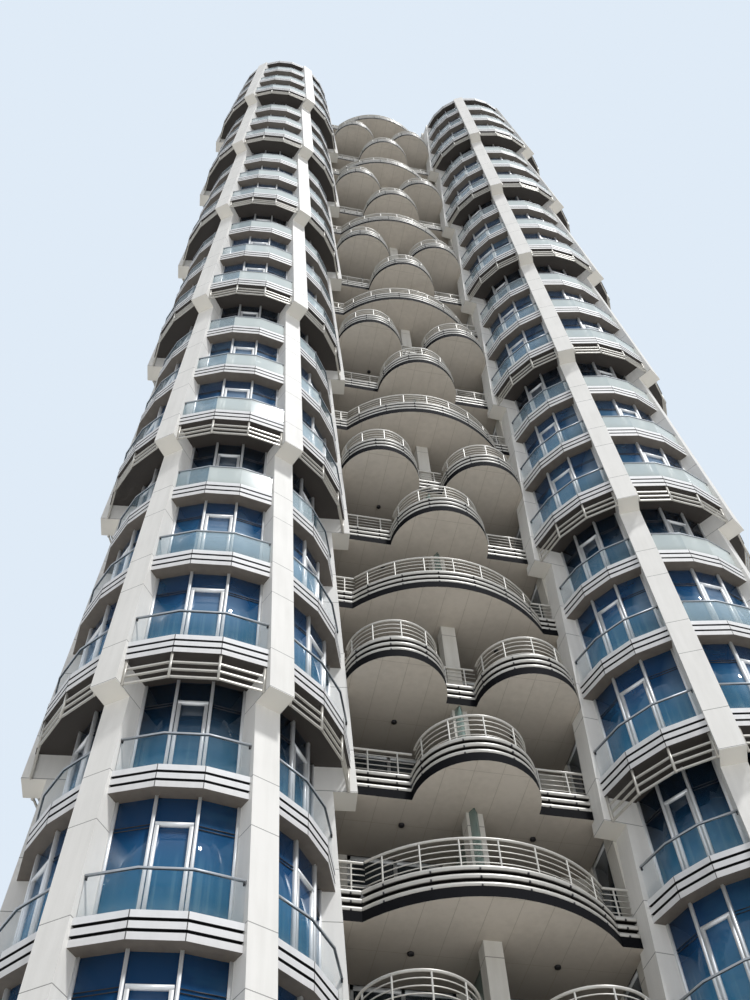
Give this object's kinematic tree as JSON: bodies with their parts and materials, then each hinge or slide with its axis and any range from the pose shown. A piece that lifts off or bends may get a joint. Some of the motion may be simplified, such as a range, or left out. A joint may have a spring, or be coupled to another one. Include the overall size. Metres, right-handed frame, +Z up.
{
  "type": "apartment tower, 1:10 scale model",
  "caption": "A 24-storey residential tower at 1:10: four six-sided drums with leaning pilasters round a square core, and round balconies in the recesses between them.",
  "frame": {"origin": "on the tower's axis at ground level, on the underside of the core's ground floor", "axes": "+Z up; the recess with the street balconies looks along -Y; +X is to the right seen from the street"},
  "size_m": [1.9202, 1.8918, 7.8015],
  "materials": {
    "cream_concrete": "matte",
    "banded_concrete": "matte",
    "soffit_concrete": "matte",
    "balustrade_glass": "gloss",
    "grey_rails": "satin",
    "white_rails": "satin",
    "dark_metal": "satin",
    "frosted_glass": "satin",
    "window_glass": "gloss",
    "frames": "satin",
    "curtains": "matte"
  },
  "bodies": {
    "root": {"front_left_pilasters": "cream_concrete", "front_left_floors": "banded_concrete", "front_left_balustrades": "balustrade_glass", "front_left_louvres": "white_rails", "front_right_pilasters": "cream_concrete", "front_right_floors": "banded_concrete", "front_right_balustrades": "balustrade_glass", "front_right_louvres": "white_rails", "rear_left_pilasters": "cream_concrete", "rear_left_floors": "banded_concrete", "rear_left_balustrades": "balustrade_glass", "rear_right_pilasters": "cream_concrete", "rear_right_floors": "banded_concrete", "rear_right_balustrades": "balustrade_glass", "core_floors": "banded_concrete", "recess_piers": "cream_concrete", "recess_side_walls": "cream_concrete", "recess_columns": "cream_concrete", "single_balconies": "soffit_concrete", "twin_balconies": "soffit_concrete", "wide_balconies": "soffit_concrete", "balcony_tubes": "grey_rails", "balcony_handrails": "grey_rails", "balcony_posts": "grey_rails"}
  },
  "joints": []
}
